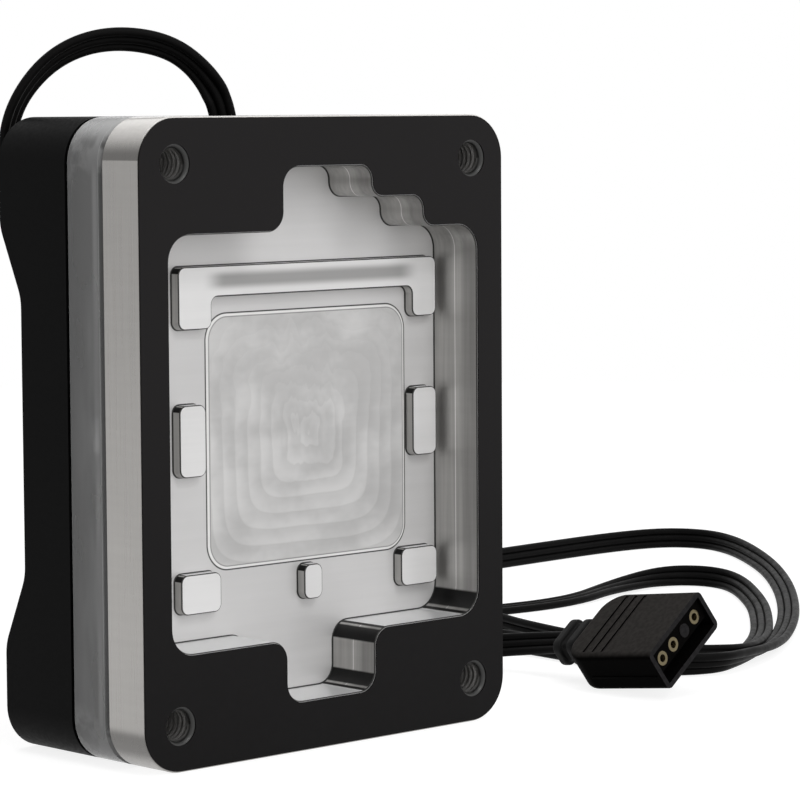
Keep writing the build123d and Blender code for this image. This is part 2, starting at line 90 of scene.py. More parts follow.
def add_modifier(piece, kind, **settings):
    select_only(piece)
    modifier = piece.modifiers.new(kind.lower(), kind)
    for key, value in settings.items():
        setattr(modifier, key, value)
    bpy.ops.object.modifier_apply(modifier=modifier.name)


def new_piece(name, mesh):
    mesh.name = name
    piece = bpy.data.objects.new(name, mesh)
    bpy.context.scene.collection.objects.link(piece)
    return piece


def finished_copy(node, name, edge, segments=2, clamp=True):
    """A merged copy of a solid with its sharp edges broken, and those narrow faces marked."""
    piece = new_piece(name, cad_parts[node].data.copy())
    piece.data.materials.clear()
    piece.data.materials.append(None)
    piece.data.materials.append(None)
    select_only(piece)
    bpy.ops.object.mode_set(mode="EDIT")
    bpy.ops.mesh.select_all(action="SELECT")
    bpy.ops.mesh.remove_doubles(threshold=1e-6)
    bpy.ops.mesh.dissolve_limited(angle_limit=math.radians(0.5))
    bpy.ops.object.mode_set(mode="OBJECT")
    add_modifier(
        piece, "BEVEL", width=edge, segments=segments, limit_method="ANGLE", angle_limit=SMOOTH_ANGLE,
        miter_outer="MITER_ARC", material=1, use_clamp_overlap=clamp,
    )
    faces = piece.data.polygons
    marks = piece.data.attributes.new("edge", "FLOAT", "FACE")
    marks.data.foreach_set("value", [float(face.material_index) for face in faces])
    faces.foreach_set("material_index", [0] * len(faces))
    select_only(piece)
    bpy.ops.object.shade_smooth_by_angle(angle=SMOOTH_ANGLE)
    add_modifier(piece, "WEIGHTED_NORMAL", keep_sharp=True)
    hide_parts(node)
    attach(piece, "root")
    return piece


def dress(piece, material):
    piece.data.materials.clear()
    piece.data.materials.append(material)


def put(tree, socket, value):
    if isinstance(value, bpy.types.NodeSocket):
        tree.links.new(value, socket)
    else:
        socket.default_value = value


def number(tree, operation, *values):
    node = tree.nodes.new("ShaderNodeMath")
    node.operation = operation
    for socket, value in zip(node.inputs, values):
        put(tree, socket, value)
    return node.outputs[0]


def vector(tree, operation, *values):
    node = tree.nodes.new("ShaderNodeVectorMath")
    node.operation = operation
    for socket, value in zip(node.inputs, values):
        put(tree, socket, value)
    single = operation in ("LENGTH", "DISTANCE", "DOT_PRODUCT")
    return node.outputs["Value" if single else "Vector"]


def split(tree, value):
    node = tree.nodes.new("ShaderNodeSeparateXYZ")
    tree.links.new(value, node.inputs[0])
    return node.outputs


def blend(tree, share, first, second, kind="MIX"):
    node = tree.nodes.new("ShaderNodeMix")
    node.data_type = "RGBA"
    node.blend_type = kind
    put(tree, node.inputs[0], share)
    put(tree, node.inputs[6], first)
    put(tree, node.inputs[7], second)
    return node.outputs[2]


def between(tree, value, low, high, new_low=0.0, new_high=1.0):
    node = tree.nodes.new("ShaderNodeMapRange")
    node.interpolation_type = "SMOOTHSTEP"
    for socket, setting in zip(node.inputs, (value, low, high, new_low, new_high)):
        put(tree, socket, setting)
    return node.outputs[0]


def bump(tree, height, distance, strength=1.0, below=None):
    node = tree.nodes.new("ShaderNodeBump")
    node.inputs["Strength"].default_value = strength
    node.inputs["Distance"].default_value = distance
    put(tree, node.inputs["Height"], height)
    if below is not None:
        tree.links.new(below, node.inputs["Normal"])
    return node.outputs["Normal"]


def finish(name, **constants):
    material = bpy.data.materials.new(name)
    material.use_nodes = True
    shader = material.node_tree.nodes["Principled BSDF"]
    for socket, value in constants.items():
        shader.inputs[socket.replace("_", " ")].default_value = value
    return material, material.node_tree, shader


def link(tree, shader, **values):
    for socket, value in values.items():
        tree.links.new(value, shader.inputs[socket.replace("_", " ")])


def object_place(tree):
    return tree.nodes.new("ShaderNodeTexCoord").outputs["Object"]


def edge_marks(tree):
    node = tree.nodes.new("ShaderNodeAttribute")
    node.attribute_name = "edge"
    return node.outputs["Fac"]


def grain_group():
    """Noise that each finish stretches its own way: cutter lines, blasting or moulding."""
    group = bpy.data.node_groups.new("grain", "ShaderNodeTree")
    group.interface.new_socket("Place", in_out="INPUT", socket_type="NodeSocketVector")
    group.interface.new_socket("Stretch", in_out="INPUT", socket_type="NodeSocketVector")
    group.interface.new_socket("Tone", in_out="OUTPUT", socket_type="NodeSocketFloat")
    group.interface.new_socket("Height", in_out="OUTPUT", socket_type="NodeSocketFloat")
    start = group.nodes.new("NodeGroupInput")
    end = group.nodes.new("NodeGroupOutput")
    stretched = vector(group, "MULTIPLY", start.outputs["Place"], start.outputs["Stretch"])
    for name, scale, detail in (("Tone", 1.0, 3.0), ("Height", 3.1, 2.0)):
        noise = group.nodes.new("ShaderNodeTexNoise")
        noise.inputs["Scale"].default_value = scale
        noise.inputs["Detail"].default_value = detail
        group.links.new(stretched, noise.inputs["Vector"])
        group.links.new(noise.outputs["Fac"], end.inputs[name])
    return group


GRAIN = grain_group()


def grain(tree, place, stretch):
    node = tree.nodes.new("ShaderNodeGroup")
    node.node_tree = GRAIN
    tree.links.new(place, node.inputs["Place"])
    node.inputs["Stretch"].default_value = stretch
    return node.outputs["Tone"], node.outputs["Height"]


def rounded_group():
    """Distance from a rounded rectangle drawn on the front, negative inside it."""
    group = bpy.data.node_groups.new("rounded_rectangle", "ShaderNodeTree")
    for name in ("Place", "Centre", "Half size"):
        group.interface.new_socket(name, in_out="INPUT", socket_type="NodeSocketVector")
    group.interface.new_socket("Radius", in_out="INPUT", socket_type="NodeSocketFloat")
    group.interface.new_socket("Distance", in_out="OUTPUT", socket_type="NodeSocketFloat")
    start = group.nodes.new("NodeGroupInput")
    end = group.nodes.new("NodeGroupOutput")
    away = vector(group, "SUBTRACT", start.outputs["Place"], start.outputs["Centre"])
    away = vector(group, "ABSOLUTE", vector(group, "MULTIPLY", away, (1, 0, 1)))
    beyond = split(group, vector(group, "SUBTRACT", away, start.outputs["Half size"]))
    over_x = number(group, "ADD", beyond[0], start.outputs["Radius"])
    over_z = number(group, "ADD", beyond[2], start.outputs["Radius"])
    corner_x = number(group, "MAXIMUM", over_x, 0)
    corner_z = number(group, "MAXIMUM", over_z, 0)
    square = number(group, "ADD", number(group, "POWER", corner_x, 2), number(group, "POWER", corner_z, 2))
    inside = number(group, "MINIMUM", number(group, "MAXIMUM", over_x, over_z), 0)
    distance = number(group, "ADD", number(group, "SQRT", square), inside)
    group.links.new(number(group, "SUBTRACT", distance, start.outputs["Radius"]), end.inputs["Distance"])
    return group


ROUNDED = rounded_group()


def rounded_distance(tree, place, centre, half, radius):
    node = tree.nodes.new("ShaderNodeGroup")
    node.node_tree = ROUNDED
    put(tree, node.inputs["Place"], place)
    put(tree, node.inputs["Centre"], centre)
    put(tree, node.inputs["Half size"], half)
    put(tree, node.inputs["Radius"], radius)
    return node.outputs["Distance"]


def nickel_finish():
    material, tree, shader = finish("bright_nickel")
    place = object_place(tree)
    x, y, z = split(tree, place)
    sideways, forward, rising = split(tree, tree.nodes.new("ShaderNodeNewGeometry").outputs["Normal"])
    level = between(tree, number(tree, "ABSOLUTE", forward), 0.5, 0.9)
    upright = number(tree, "SUBTRACT", 1.0, level)
    outside = rounded_distance(tree, place, PLATE_MIDDLE, PLATE_HALF, PLATE_RADIUS)
    band = number(tree, "GREATER_THAN", outside, -BAND_DEPTH)
    inner = number(tree, "SUBTRACT", 1.0, band)
    wall = number(tree, "MULTIPLY", upright, inner)
    raised = between(tree, y, PAD_TOP_Y + 0.5 * MM, PAD_TOP_Y + 0.2 * MM)
    pad = number(tree, "MULTIPLY", level, raised)
    cut, _ = grain(tree, place, (60, 60, 60))
    along, _ = grain(tree, place, (2200, 2200, 60))
    across, across_height = grain(tree, place, (35, 90, 1300))
    smear, _ = grain(tree, place, (150, 150, 210))
    flame, _ = grain(tree, place, (420, 420, 130))

    # Floor and pads: the cutter leaves a soft dark smear along the bar
    smeared = number(tree, "ABSOLUTE", number(tree, "SUBTRACT", z, BAR_MIDDLE_Z))
    smeared = number(tree, "MULTIPLY", between(tree, smeared, 1.3 * MM, 0.3 * MM), pad)
    reach_x = number(tree, "ABSOLUTE", number(tree, "SUBTRACT", x, DIE_CENTRE[0]))
    smeared = number(tree, "MULTIPLY", smeared, between(tree, reach_x, 16.5 * MM, 13.0 * MM))
    colour = blend(tree, pad, FLOOR_COLOUR, PAD_COLOUR)
    colour = blend(tree, smeared, colour, SMEAR_COLOUR)

    # Die face: rounded square rings from the cutter, smeared towards the top and the middle, with painted
    # shading on each ring
    die = rounded_distance(tree, place, DIE_CENTRE, DIE_HALF, DIE_RADIUS)
    die_area = number(tree, "MULTIPLY", between(tree, die, 0.10 * MM, -0.05 * MM), level)
    reach = vector(tree, "SUBTRACT", place, DIE_CENTRE)
    reach = vector(tree, "DIVIDE", vector(tree, "ABSOLUTE", reach), (DIE_HALF[0], 1, DIE_HALF[2]))
    share_x, _, share_z = split(tree, reach)
    power_x = number(tree, "POWER", share_x, RING_SQUARENESS)
    power_z = number(tree, "POWER", share_z, RING_SQUARENESS)
    ring = number(tree, "POWER", number(tree, "ADD", power_x, power_z), 1 / RING_SQUARENESS)
    upper = between(tree, z, DIE_CENTRE[2] - 3 * MM, DIE_CENTRE[2] + 11 * MM)
    column = between(tree, z, DIE_CENTRE[2] - 7 * MM, DIE_CENTRE[2] + 2 * MM)
    column = number(tree, "MULTIPLY", between(tree, reach_x, 8.0 * MM, 2.0 * MM), column)
    drift = number(tree, "SUBTRACT", smear, 0.5)
    drift = number(tree, "MULTIPLY", drift, between(tree, upper, 0.0, 1.0, 0.4, 2.8))
    swirl = number(tree, "SUBTRACT", flame, 0.5)
    swirl = number(tree, "MULTIPLY", swirl, number(tree, "MULTIPLY", column, 4.5))
    rings = number(tree, "MULTIPLY", ring, DIE_RINGS)
    rings = number(tree, "ADD", rings, number(tree, "ADD", drift, swirl))
    slope = number(tree, "FRACT", rings)
    # Painted shading: each ring is painted lighter across its slope and darker at its step
    step = between(tree, slope, 0.90, 1.0)
    ring_tone_and_shading = between(tree, slope, 0.0, 0.95, 0.91, 1.03)
    ring_tone_and_shading = number(tree, "SUBTRACT", ring_tone_and_shading, number(tree, "MULTIPLY", step, 0.07))
    faint_tone = between(tree, slope, 0.0, 0.95, 0.96, 1.0)
    ring_tone_and_shading = between(tree, upper, 0.0, 1.0, ring_tone_and_shading, faint_tone)
    ring_tone_and_shading = number(tree, "MULTIPLY", ring_tone_and_shading, between(tree, smear, 0.35, 0.65, 0.87, 1.06))
    colour = blend(tree, die_area, colour, blend(tree, 1.0, DIE_COLOUR, ring_tone_and_shading, "MULTIPLY"))
    # Painted highlight: a pale line along the middle of the rim round the die; painted shade: dark lines
    # along the rim's outer and inner edges
    rim = number(tree, "ABSOLUTE", number(tree, "SUBTRACT", die, DIE_RIM / 2))
    colour = blend(tree, between(tree, rim, 0.17 * MM, 0.12 * MM), colour, LINE_COLOUR)
    outer_shade_line = number(tree, "ABSOLUTE", number(tree, "SUBTRACT", die, DIE_RIM))
    outer_shade_line = between(tree, outer_shade_line, 0.11 * MM, 0.05 * MM)
    inner_shade_line = between(tree, number(tree, "ABSOLUTE", die), 0.09 * MM, 0.04 * MM, 0.0, 0.5)
    below_pads = between(tree, y, PAD_TOP_Y + 0.5 * MM, PAD_TOP_Y + 0.8 * MM)
    outline = number(tree, "MULTIPLY", number(tree, "MAXIMUM", outer_shade_line, inner_shade_line), below_pads)
    colour = blend(tree, outline, colour, EDGE_SHADE_COLOUR)

    # Walls: a line where two cuts meet, painted shade towards the front and at the root, painted light on
    # the upward shelves, and painted dark reflections in bands round the lower corners
    scored_wall = blend(tree, 0.88, (0, 0, 0, 1), WALL_COLOUR)
    wall_colour = blend(tree, between(tree, along, 0.3, 0.7), WALL_COLOUR, scored_wall)
    line = number(tree, "ABSOLUTE", number(tree, "SUBTRACT", y, CUT_LINE_Y))
    wall_colour = blend(tree, between(tree, line, 0.10 * MM, 0.03 * MM), wall_colour, LINE_COLOUR)
    # Painted shade: the walls darken towards the front
    wall_colour = blend(tree, between(tree, y, *WALL_SHADE_Y, 0.0, 0.3), wall_colour, PAINTED_DARK_COLOUR)
    # Painted light: faces turned upwards are painted pale
    wall_colour = blend(tree, between(tree, rising, 0.97, 0.99), wall_colour, SHELF_LIGHT_COLOUR)
    # Painted dark reflections: bands round the lower corners, on faces turned towards -X
    wide_band = between(tree, rising, 0.86, 0.80)
    wide_band = number(tree, "MULTIPLY", between(tree, rising, 0.14, 0.24), wide_band)
    thin_band = between(tree, rising, 0.985, 0.97)
    thin_band = number(tree, "MULTIPLY", between(tree, rising, 0.89, 0.92), thin_band)
    dark = number(tree, "MAXIMUM", wide_band, thin_band)
    dark = number(tree, "MULTIPLY", dark, number(tree, "LESS_THAN", sideways, -0.1))
    # Painted shade: a dark line along the root of each wall, broken up by noise
    root = between(tree, y, POCKET_FLOOR_Y - 0.22 * MM, POCKET_FLOOR_Y - 0.10 * MM)
    root = number(tree, "MULTIPLY", root, between(tree, flame, 0.40, 0.55, 0.5, 1.0))
    wall_colour = blend(tree, number(tree, "MAXIMUM", dark, root), wall_colour, PAINTED_DARK_COLOUR)
    colour = blend(tree, upright, colour, wall_colour)
    # Painted shade: the narrow faces of all broken edges are painted dark
    colour = blend(tree, edge_marks(tree), colour, EDGE_SHADE_COLOUR)

    # Side band: plain and grey, with painted reflection: darker towards the top, dark and then bright where
    # the upper corner turns to the sky, and darker round the foot
    band_tone_and_shading = between(tree, z, *BAND_SHADING_Z, *BAND_SHADING_TONES)
    corner_reflection = between(tree, z, *CORNER_REFLECTION_Z, *CORNER_REFLECTION_TONES)
    corner = number(tree, "GREATER_THAN", z, BAND_CORNER_Z)
    band_tone_and_shading = between(tree, corner, 0.0, 1.0, band_tone_and_shading, corner_reflection)
    foot_shade = number(tree, "MULTIPLY", between(tree, z, *FOOT_FALL_Z), between(tree, z, *FOOT_RISE_Z))
    band_tone_and_shading = number(tree, "MULTIPLY", band_tone_and_shading, between(tree, foot_shade, 0.0, 1.0, 1.0, 0.5))
    band_tone_and_shading = number(tree, "MULTIPLY", band_tone_and_shading, between(tree, along, 0.3, 0.7, 0.95, 1.0))
    colour = blend(tree, band, colour, blend(tree, 1.0, BAND_COLOUR, band_tone_and_shading, "MULTIPLY"))

    # Tapped holes: painted shade, dark at the mouth and grey on the turns inside
    away = vector(tree, "ABSOLUTE", vector(tree, "SUBTRACT", place, PLATE_MIDDLE))
    hole = vector(tree, "SUBTRACT", away, (HOLE_SPACING[0] / 2, 0, HOLE_SPACING[1] / 2))
    hole = vector(tree, "LENGTH", vector(tree, "MULTIPLY", hole, (1, 0, 1)))
    hole = between(tree, hole, HOLE_ZONE + 0.1 * MM, HOLE_ZONE)
    inside = between(tree, y, *HOLE_MOUTH_Y)
    colour = blend(tree, hole, colour, blend(tree, inside, MOUTH_SHADE_COLOUR, THREAD_SHADE_COLOUR))
    tone = between(tree, across, 0.3, 0.7, 0.97, 1.0)
    tone = number(tree, "MULTIPLY", between(tree, cut, 0.3, 0.7, 0.94, 1.0), tone)
    colour = blend(tree, 1.0, colour, tone, "MULTIPLY")

    rough = between(tree, across, 0.3, 0.7, 0.38, 0.46)
    wall_rough = between(tree, along, 0.3, 0.7, 0.38, 0.46)
    wall_rough = between(tree, rising, 0.97, 0.99, wall_rough, 0.2)
    rough = between(tree, wall, 0.0, 1.0, rough, wall_rough)
    band_rough = between(tree, along, 0.3, 0.7, 0.26, 0.36)
    band_rough = between(tree, z, *CORNER_POLISH_Z, band_rough, 0.14)
    rough = between(tree, band, 0.0, 1.0, rough, band_rough)
    metal = between(tree, wall, 0.0, 1.0, 0.25, between(tree, rising, 0.97, 0.99, 0.85, 0.25))
    metal = between(tree, band, 0.0, 1.0, metal, between(tree, z, *CORNER_PALE_Z, 1.0, 0.1))

    waves = bump(tree, cut, 0.25 * MM, 0.05)
    scored = bump(tree, across_height, 0.002 * MM, 0.4, waves)
    ringed = bump(tree, number(tree, "MULTIPLY", slope, die_area), 0.015 * MM, 0.6, scored)
    link(tree, shader, Base_Color=colour, Roughness=rough, Metallic=metal, Normal=ringed)
    return material


NICKEL = nickel_finish()
cold_plate = finished_copy("cold_plate", "nickel_cold_plate", PLATE_EDGE, clamp=False)
dress(cold_plate, NICKEL)

# Screw threads: the turns that a tap leaves in the plate's four corner holes. They are cut in
# the plate's own metal, under the same nickel, and are drawn as one long ridge in each hole.
THREAD_STEPS = 32
THREAD_ROOT = 0.02 * MM
THREAD_HALF = 0.44
CORNER_RADIUS = 1.7 * MM
CORNER_CREST = 0.1 * MM
CORNER_PITCH = 0.7 * MM
CORNER_TURNS = 7
CORNER_START_Y = -11.2 * MM


def thread_ridge(name, radius, crest, pitch, turns, start):
    """A closed triangular ridge wound along +Y inside a bore, from start."""
    profile = bpy.data.meshes.new(name)
    half = pitch * THREAD_HALF
    root = radius + THREAD_ROOT
    corners = [(root, 0, -half), (radius - crest, 0, 0), (root, 0, half)]
    profile.from_pydata(corners, [(0, 1), (1, 2), (2, 0)], [])
    ridge = new_piece(name, profile)
    add_modifier(
        ridge, "SCREW", steps=THREAD_STEPS, render_steps=THREAD_STEPS, iterations=turns, screw_offset=pitch,
        use_normal_calculate=True,
    )
    select_only(ridge)
    bpy.ops.object.mode_set(mode="EDIT")
    bpy.ops.mesh.select_all(action="DESELECT")
    bpy.ops.mesh.select_non_manifold()
    bpy.ops.mesh.fill_holes(sides=3)
    bpy.ops.mesh.select_all(action="SELECT")
    bpy.ops.mesh.normals_make_consistent(inside=False)
    bpy.ops.object.mode_set(mode="OBJECT")
    bpy.ops.object.shade_smooth_by_angle(angle=SMOOTH_ANGLE)
    ridge.data.transform(Matrix.Translation(start) @ Matrix.Rotation(math.radians(-90), 4, "X"))
    return ridge


def joined(pieces, name):
    bpy.ops.object.select_all(action="DESELECT")
    for piece in pieces:
        piece.select_set(True)
    bpy.context.view_layer.objects.active = pieces[0]
    bpy.ops.object.join()
    pieces[0].name = name
    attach(pieces[0], "root")
    return pieces[0]


ridges = [
    thread_ridge(
        "corner_thread", CORNER_RADIUS, CORNER_CREST, CORNER_PITCH, CORNER_TURNS,
        Vector((x * HOLE_SPACING[0] / 2, CORNER_START_Y, PLATE_MIDDLE[2] + z * HOLE_SPACING[1] / 2)),
    )
    for x in (-1, 1) for z in (-1, 1)
]
dress(joined(ridges, "corner_threads"), NICKEL)

# Insulating film: a thin black polymer sheet, die cut to the pocket and the screw holes and
# stuck to the front of the plate so that the board's parts can't short on it.
FILM_SHEEN_Z = (-5.0 * MM, 50.0 * MM)
film, tree, shader = finish("black_film", Roughness=0.45, Specular_IOR_Level=0.07)
place = object_place(tree)
mottle, mottle_height = grain(tree, place, (900, 900, 900))
colour = blend(tree, mottle, (0.0050, 0.0046, 0.0048, 1), (0.0075, 0.0070, 0.0072, 1))
# Painted sheen: the film is painted lighter towards the top
painted_sheen = between(tree, split(tree, place)[2], *FILM_SHEEN_Z)
colour = blend(tree, painted_sheen, colour, (0.0140, 0.0130, 0.0133, 1))
link(tree, shader, Base_Color=colour, Normal=bump(tree, mottle_height, 0.004 * MM, 0.4))
dress(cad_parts["insulating_film"], film)

# Seal: a ring of soft black rubber, moulded to the outline of the fin chamber. It lies in a
# groove of the clear body and is pressed flat by the plate.
rubber, tree, shader = finish("black_rubber", Roughness=0.6, Specular_IOR_Level=0.12)
speck, speck_height = grain(tree, object_place(tree), (1400, 1400, 1400))
colour = blend(tree, speck, (0.006, 0.006, 0.006, 1), (0.012, 0.012, 0.012, 1))
link(tree, shader, Base_Color=colour, Normal=bump(tree, speck_height, 0.01 * MM, 0.5))
dress(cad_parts["main_seal"], rubber)

# Flow plate: a sheet of rolled stainless steel with an inlet and an outlet slot stamped in it.
# It lies on the fins and steers the water through them.
steel, tree, shader = finish("rolled_steel", Metallic=1.0)
roll, roll_height = grain(tree, object_place(tree), (120, 900, 5000))
link(
    tree, shader, Base_Color=blend(tree, roll, (0.50, 0.50, 0.50, 1), (0.62, 0.62, 0.62, 1)),
    Roughness=between(tree, roll, 0.3, 0.7, 0.22, 0.36), Normal=bump(tree, roll_height, 0.002 * MM, 0.5),
)
dress(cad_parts["flow_plate"], steel)

# Clear body: a block of cast acrylic, milled with the fin chamber, the seal groove and two
# tapped port bosses. Its sides keep the satin look of the cutter.
BODY_EDGE = 0.1 * MM
BODY_FRONT_Y = -6.0 * MM
BODY_BACK_Y = 0.4 * MM
BODY_SHADE = (0.23, 0.23, 0.23, 1)
BODY_LIT = (0.44, 0.44, 0.44, 1)
BODY_TOP_LIGHT_Z = (67.0 * MM, 69.0 * MM)
BODY_END_REACH = (27.5 * MM, 30.5 * MM)
acrylic, tree, shader = finish("cast_acrylic", Transmission_Weight=0.5, IOR=1.49)
place = object_place(tree)
_, y, z = split(tree, place)
haze, haze_height = grain(tree, place, (70, 160, 40))
cloud, _ = grain(tree, place, (330, 330, 330))
# Painted shading: darker towards the back and paler towards the front
depth = between(tree, y, BODY_BACK_Y, BODY_FRONT_Y + 1.2 * MM)
colour = blend(tree, depth, BODY_SHADE, BODY_LIT)
colour = blend(tree, between(tree, haze, 0.45, 0.62, 0.0, 0.55), colour, (0.17, 0.17, 0.17, 1))
# Painted highlight: a pale line along the side near the front, broken up by the haze
front_highlight = number(tree, "ABSOLUTE", number(tree, "SUBTRACT", y, BODY_FRONT_Y + 1.3 * MM))
front_highlight = between(tree, front_highlight, 0.7 * MM, 0.1 * MM)
front_highlight = number(tree, "MULTIPLY", front_highlight, between(tree, haze, 0.40, 0.60))
colour = blend(tree, front_highlight, colour, (0.60, 0.60, 0.60, 1))
# Painted shade: a dark strip along the front edge
lip = between(tree, y, BODY_FRONT_Y + 0.75 * MM, BODY_FRONT_Y + 0.6 * MM)
colour = blend(tree, lip, colour, (0.13, 0.13, 0.13, 1))
ends = number(tree, "ABSOLUTE", number(tree, "SUBTRACT", z, PLATE_MIDDLE[2]))
mottled = between(tree, ends, *BODY_END_REACH)
mottled = number(tree, "MULTIPLY", mottled, between(tree, cloud, 0.44, 0.60))
colour = blend(tree, mottled, colour, (0.50, 0.50, 0.50, 1))
# Painted highlight: the top end is painted nearly white
colour = blend(tree, between(tree, z, *BODY_TOP_LIGHT_Z, 0.0, 0.8), colour, (0.95, 0.95, 0.95, 1))
# Painted highlight: the narrow faces of the broken edges are painted pale
colour = blend(tree, edge_marks(tree), colour, (0.90, 0.90, 0.90, 1))
link(
    tree, shader, Base_Color=colour, Roughness=between(tree, haze, 0.3, 0.7, 0.16, 0.30),
    Normal=bump(tree, haze_height, 0.01 * MM, 0.2),
)
clear_body = finished_copy("acrylic_body", "clear_body", BODY_EDGE)
dress(clear_body, acrylic)

# Port threads: the turns that take the hose fittings. They are tapped in the clear body's two
# bosses, so they are of the same acrylic.
PORT_RADIUS = 5.75 * MM
PORT_CREST = 0.4 * MM
PORT_PITCH = 1.337 * MM
PORT_TURNS = 4
PORT_REACH = 13.0 * MM
PORT_START_Y = 3.0 * MM
ports = [
    thread_ridge(
        "port_thread", PORT_RADIUS, PORT_CREST, PORT_PITCH, PORT_TURNS,
        Vector((side * PORT_REACH, PORT_START_Y, PLATE_MIDDLE[2])),
    )
    for side in (-1, 1)
]
dress(joined(ports, "port_threads"), acrylic)

# Light board: a C-shaped circuit board of glass fibre under white solder mask. It is glued
# into the cover's pocket, and its chips face the clear body.
mask, tree, shader = finish("white_solder_mask", Roughness=0.45)
weave, weave_height = grain(tree, object_place(tree), (1800, 1800, 1800))
colour = blend(tree, weave, (0.70, 0.70, 0.67, 1), (0.80, 0.80, 0.78, 1))
link(tree, shader, Base_Color=colour, Normal=bump(tree, weave_height, 0.01 * MM, 0.4))
dress(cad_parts["led_board"], mask)

# Light chips: small square blocks of cast resin over the light sources, soldered along both
# strips of the board.
resin, tree, shader = finish("chip_resin", Roughness=0.25)
pour, _ = grain(tree, object_place(tree), (1200, 1200, 1200))
link(tree, shader, Base_Color=blend(tree, pour, (0.82, 0.80, 0.68, 1), (0.90, 0.88, 0.80, 1)))
dress(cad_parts["led_chips"], resin)

# Capacitors: small blocks of bare fired ceramic that steady the chips' supply. One is soldered
# to the board beside each chip.
ceramic, tree, shader = finish("bare_ceramic", Roughness=0.5)
fired, _ = grain(tree, object_place(tree), (2500, 2500, 2500))
link(tree, shader, Base_Color=blend(tree, fired, (0.40, 0.28, 0.17, 1), (0.50, 0.37, 0.24, 1)))
dress(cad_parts["led_capacitors"], ceramic)

# Rear cover: an aluminium block with a lowered saddle across its back, fine blasted and
# anodised black. It clamps the clear body against the plate.
COVER_EDGE = 0.15 * MM
anodised, tree, shader = finish("black_anodise", Specular_IOR_Level=0.03)
blast, blast_height = grain(tree, object_place(tree), (2600, 2600, 2600))
colour = blend(tree, blast, (0.0022, 0.0022, 0.0023, 1), (0.0040, 0.0040, 0.0041, 1))
# Painted highlight: the narrow faces of the broken edges are painted a little lighter
colour = blend(tree, edge_marks(tree), colour, (0.010, 0.010, 0.010, 1))
link(
    tree, shader, Base_Color=colour, Roughness=between(tree, blast, 0.3, 0.7, 0.42, 0.54),
    Normal=bump(tree, blast_height, 0.006 * MM, 0.4),
)
rear_cover = finished_copy("rear_cover", "black_rear_cover", COVER_EDGE)
dress(rear_cover, anodised)

# Screws: four steel cap screws with hexagon sockets, turned and blackened. They sit sunk in the
# cover's end lands and pull the whole stack together.
SCREW_EDGE = 0.15 * MM
oxide, tree, shader = finish("black_oxide", Metallic=1.0)
turned, turned_height = grain(tree, object_place(tree), (1500, 1500, 1500))
link(
    tree, shader, Base_Color=blend(tree, turned, (0.045, 0.044, 0.043, 1), (0.075, 0.073, 0.07, 1)),
    Roughness=between(tree, turned, 0.3, 0.7, 0.3, 0.45), Normal=bump(tree, turned_height, 0.004 * MM, 0.5),
)
cover_screws = finished_copy("cover_screws", "cap_screws", SCREW_EDGE)
dress(cover_screws, oxide)

# Gland: a bush of the same black rubber as the seal, moulded round the lead. It is pressed into
# the lead's hole in the cover's top end.
GLAND_EDGE = 0.2 * MM
gland = finished_copy("cable_gland", "lead_gland", GLAND_EDGE, 3)
dress(gland, rubber)

# Light lead: three soft-jacketed wires joined side by side as a flat ribbon. It comes out of the
# top, arches over the back, drops behind the block and lies in two loops beside it.
ARCH_HEADING = math.radians(153.5)
GLAND_TOP = Vector((0.5, 5.8, 65.2)) * MM
PLUG_FACE = Vector((51.84, -17.87, 6.81)) * MM
PLUG_AXIS = Vector((0.0052, -0.9926, 0.1210)).normalized()
PLUG_SIDE = Vector((0.8247, 0.0727, 0.5608)).normalized()
PLUG_UP = PLUG_AXIS.cross(PLUG_SIDE)
PLUG_LENGTH = 14.6 * MM
RELIEF_LENGTH = 4.6 * MM
WIRE_RADIUS = 0.53 * MM
WIRE_PITCH = 1.04 * MM
WIRE_COUNT = 3
ARC_STEPS = 6
RIBBON_EASE = 0.15
RIBBON_SMOOTH_ANGLE = math.radians(50)
LEVEL_ENOUGH = 0.4
LAST_RUN = 7.0
ROUTE_STEPS = 12
arch = [(0, 0), (0, 4.8), (2.35, 9.6), (6.9, 13.0), (14.3, 13.7), (20.5, 11.1), (24.9, 5.2)]
heading = Vector((math.cos(ARCH_HEADING), math.sin(ARCH_HEADING), 0))
route = [GLAND_TOP / MM + heading * reach + Vector((0, 0, height)) for reach, height in arch]
route += [
    (-21.5, 17.8, 63.4), (-17.2, 18.7, 54.8), (-8.8, 19.6, 46.6), (-1.6, 20.8, 38.2), (2.6, 23.0, 28.0),
    (4.8, 27.4, 17.2), (8.0, 34.0, 7.0), (15.0, 42.5, 1.6), (25.0, 49.5, 0.96), (37.0, 54.0, 0.73),
    (49.5, 54.0, 0.66), (64.0, 50.5, 0.64), (80.5, 46.3, 0.64), (97.0, 44.2, 0.64), (110.1, 48.0, 1.15),
    (121.4, 48.8, 1.6), (126.1, 43.9, 1.62), (125.3, 37.4, 1.28), (114.0, 24.0, 0.9), (103.7, 14.2, 0.8),
    (90.6, 3.0, 0.78), (76.8, -5.9, 1.3), (70.0, -4.9, 1.48), (65.8, 0.3, 1.52), (66.2, 14.0, 1.6),
    (68.0, 31.5, 2.2), (71.8, 50.5, 5.1), (77.0, 65.0, 1.6), (86.5, 76.5, 1.55), (103.2, 78.9, 1.55),
    (123.4, 80.5, 1.55), (148.3, 81.6, 1.56), (158.0, 78.3, 1.57), (158.9, 68.6, 1.54), (145.8, 49.6, 1.18),
    (130.0, 32.5, 0.88), (110.9, 15.2, 0.83), (95.3, 3.1, 0.82), (83.6, -4.4, 1.0), (74.0, -8.7, 1.32),
    (65.6, -11.0, 1.5), (58.9, -4.5, 1.52), (60.2, 6.2, 1.51), (61.4, 19.5, 1.51), (61.0, 32.0, 1.51),
    (54.8, 40.2, 1.5), (45.2, 41.2, 1.5), (38.2, 34.8, 1.5), (38.6, 25.6, 1.55), (45.5, 18.5, 2.35),
]
